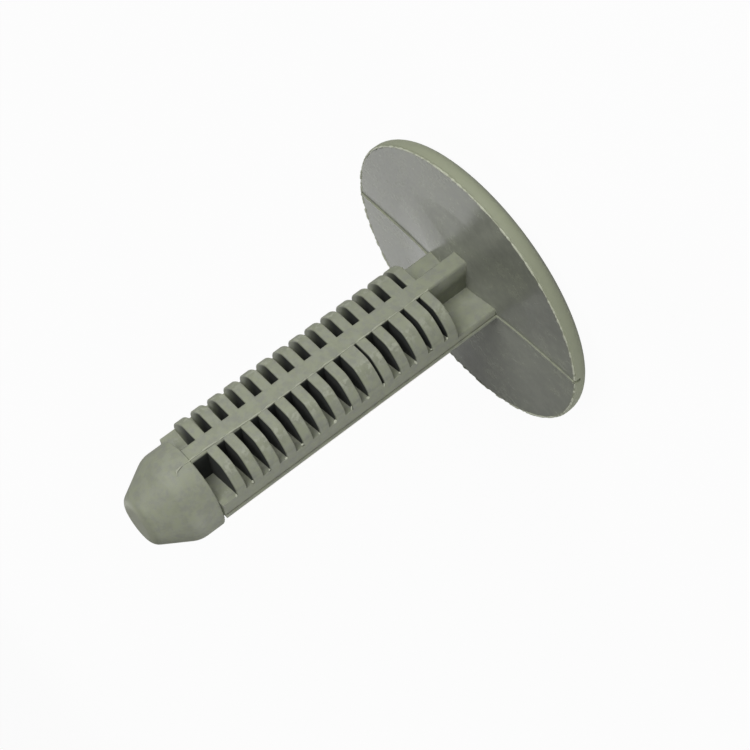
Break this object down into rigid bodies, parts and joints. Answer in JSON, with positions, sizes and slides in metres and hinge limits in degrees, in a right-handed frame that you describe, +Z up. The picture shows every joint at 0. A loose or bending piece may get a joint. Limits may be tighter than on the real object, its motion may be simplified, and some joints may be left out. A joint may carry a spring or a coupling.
{
  "type": "push rivet",
  "caption": "One-piece nylon push rivet: a wide thin round head and a straight shank of crossed ribs with rows of fins and a blunt tip. It is pushed into a drilled hole and grips by its fins.",
  "frame": {"origin": "lowest point of the domed head, on the shank's axis, with the rivet standing on its head", "axes": "+Z runs up the shank towards the tip, X lies in the plane of the mould line through the two side ribs, and -Y is the side of the front rib"},
  "size_m": [0.0254, 0.0254, 0.0343],
  "materials": {
    "nylon": "grey-green moulded nylon with a fine satin skin"
  },
  "bodies": {
    "root": {"push_rivet": "nylon"}
  },
  "joints": []
}
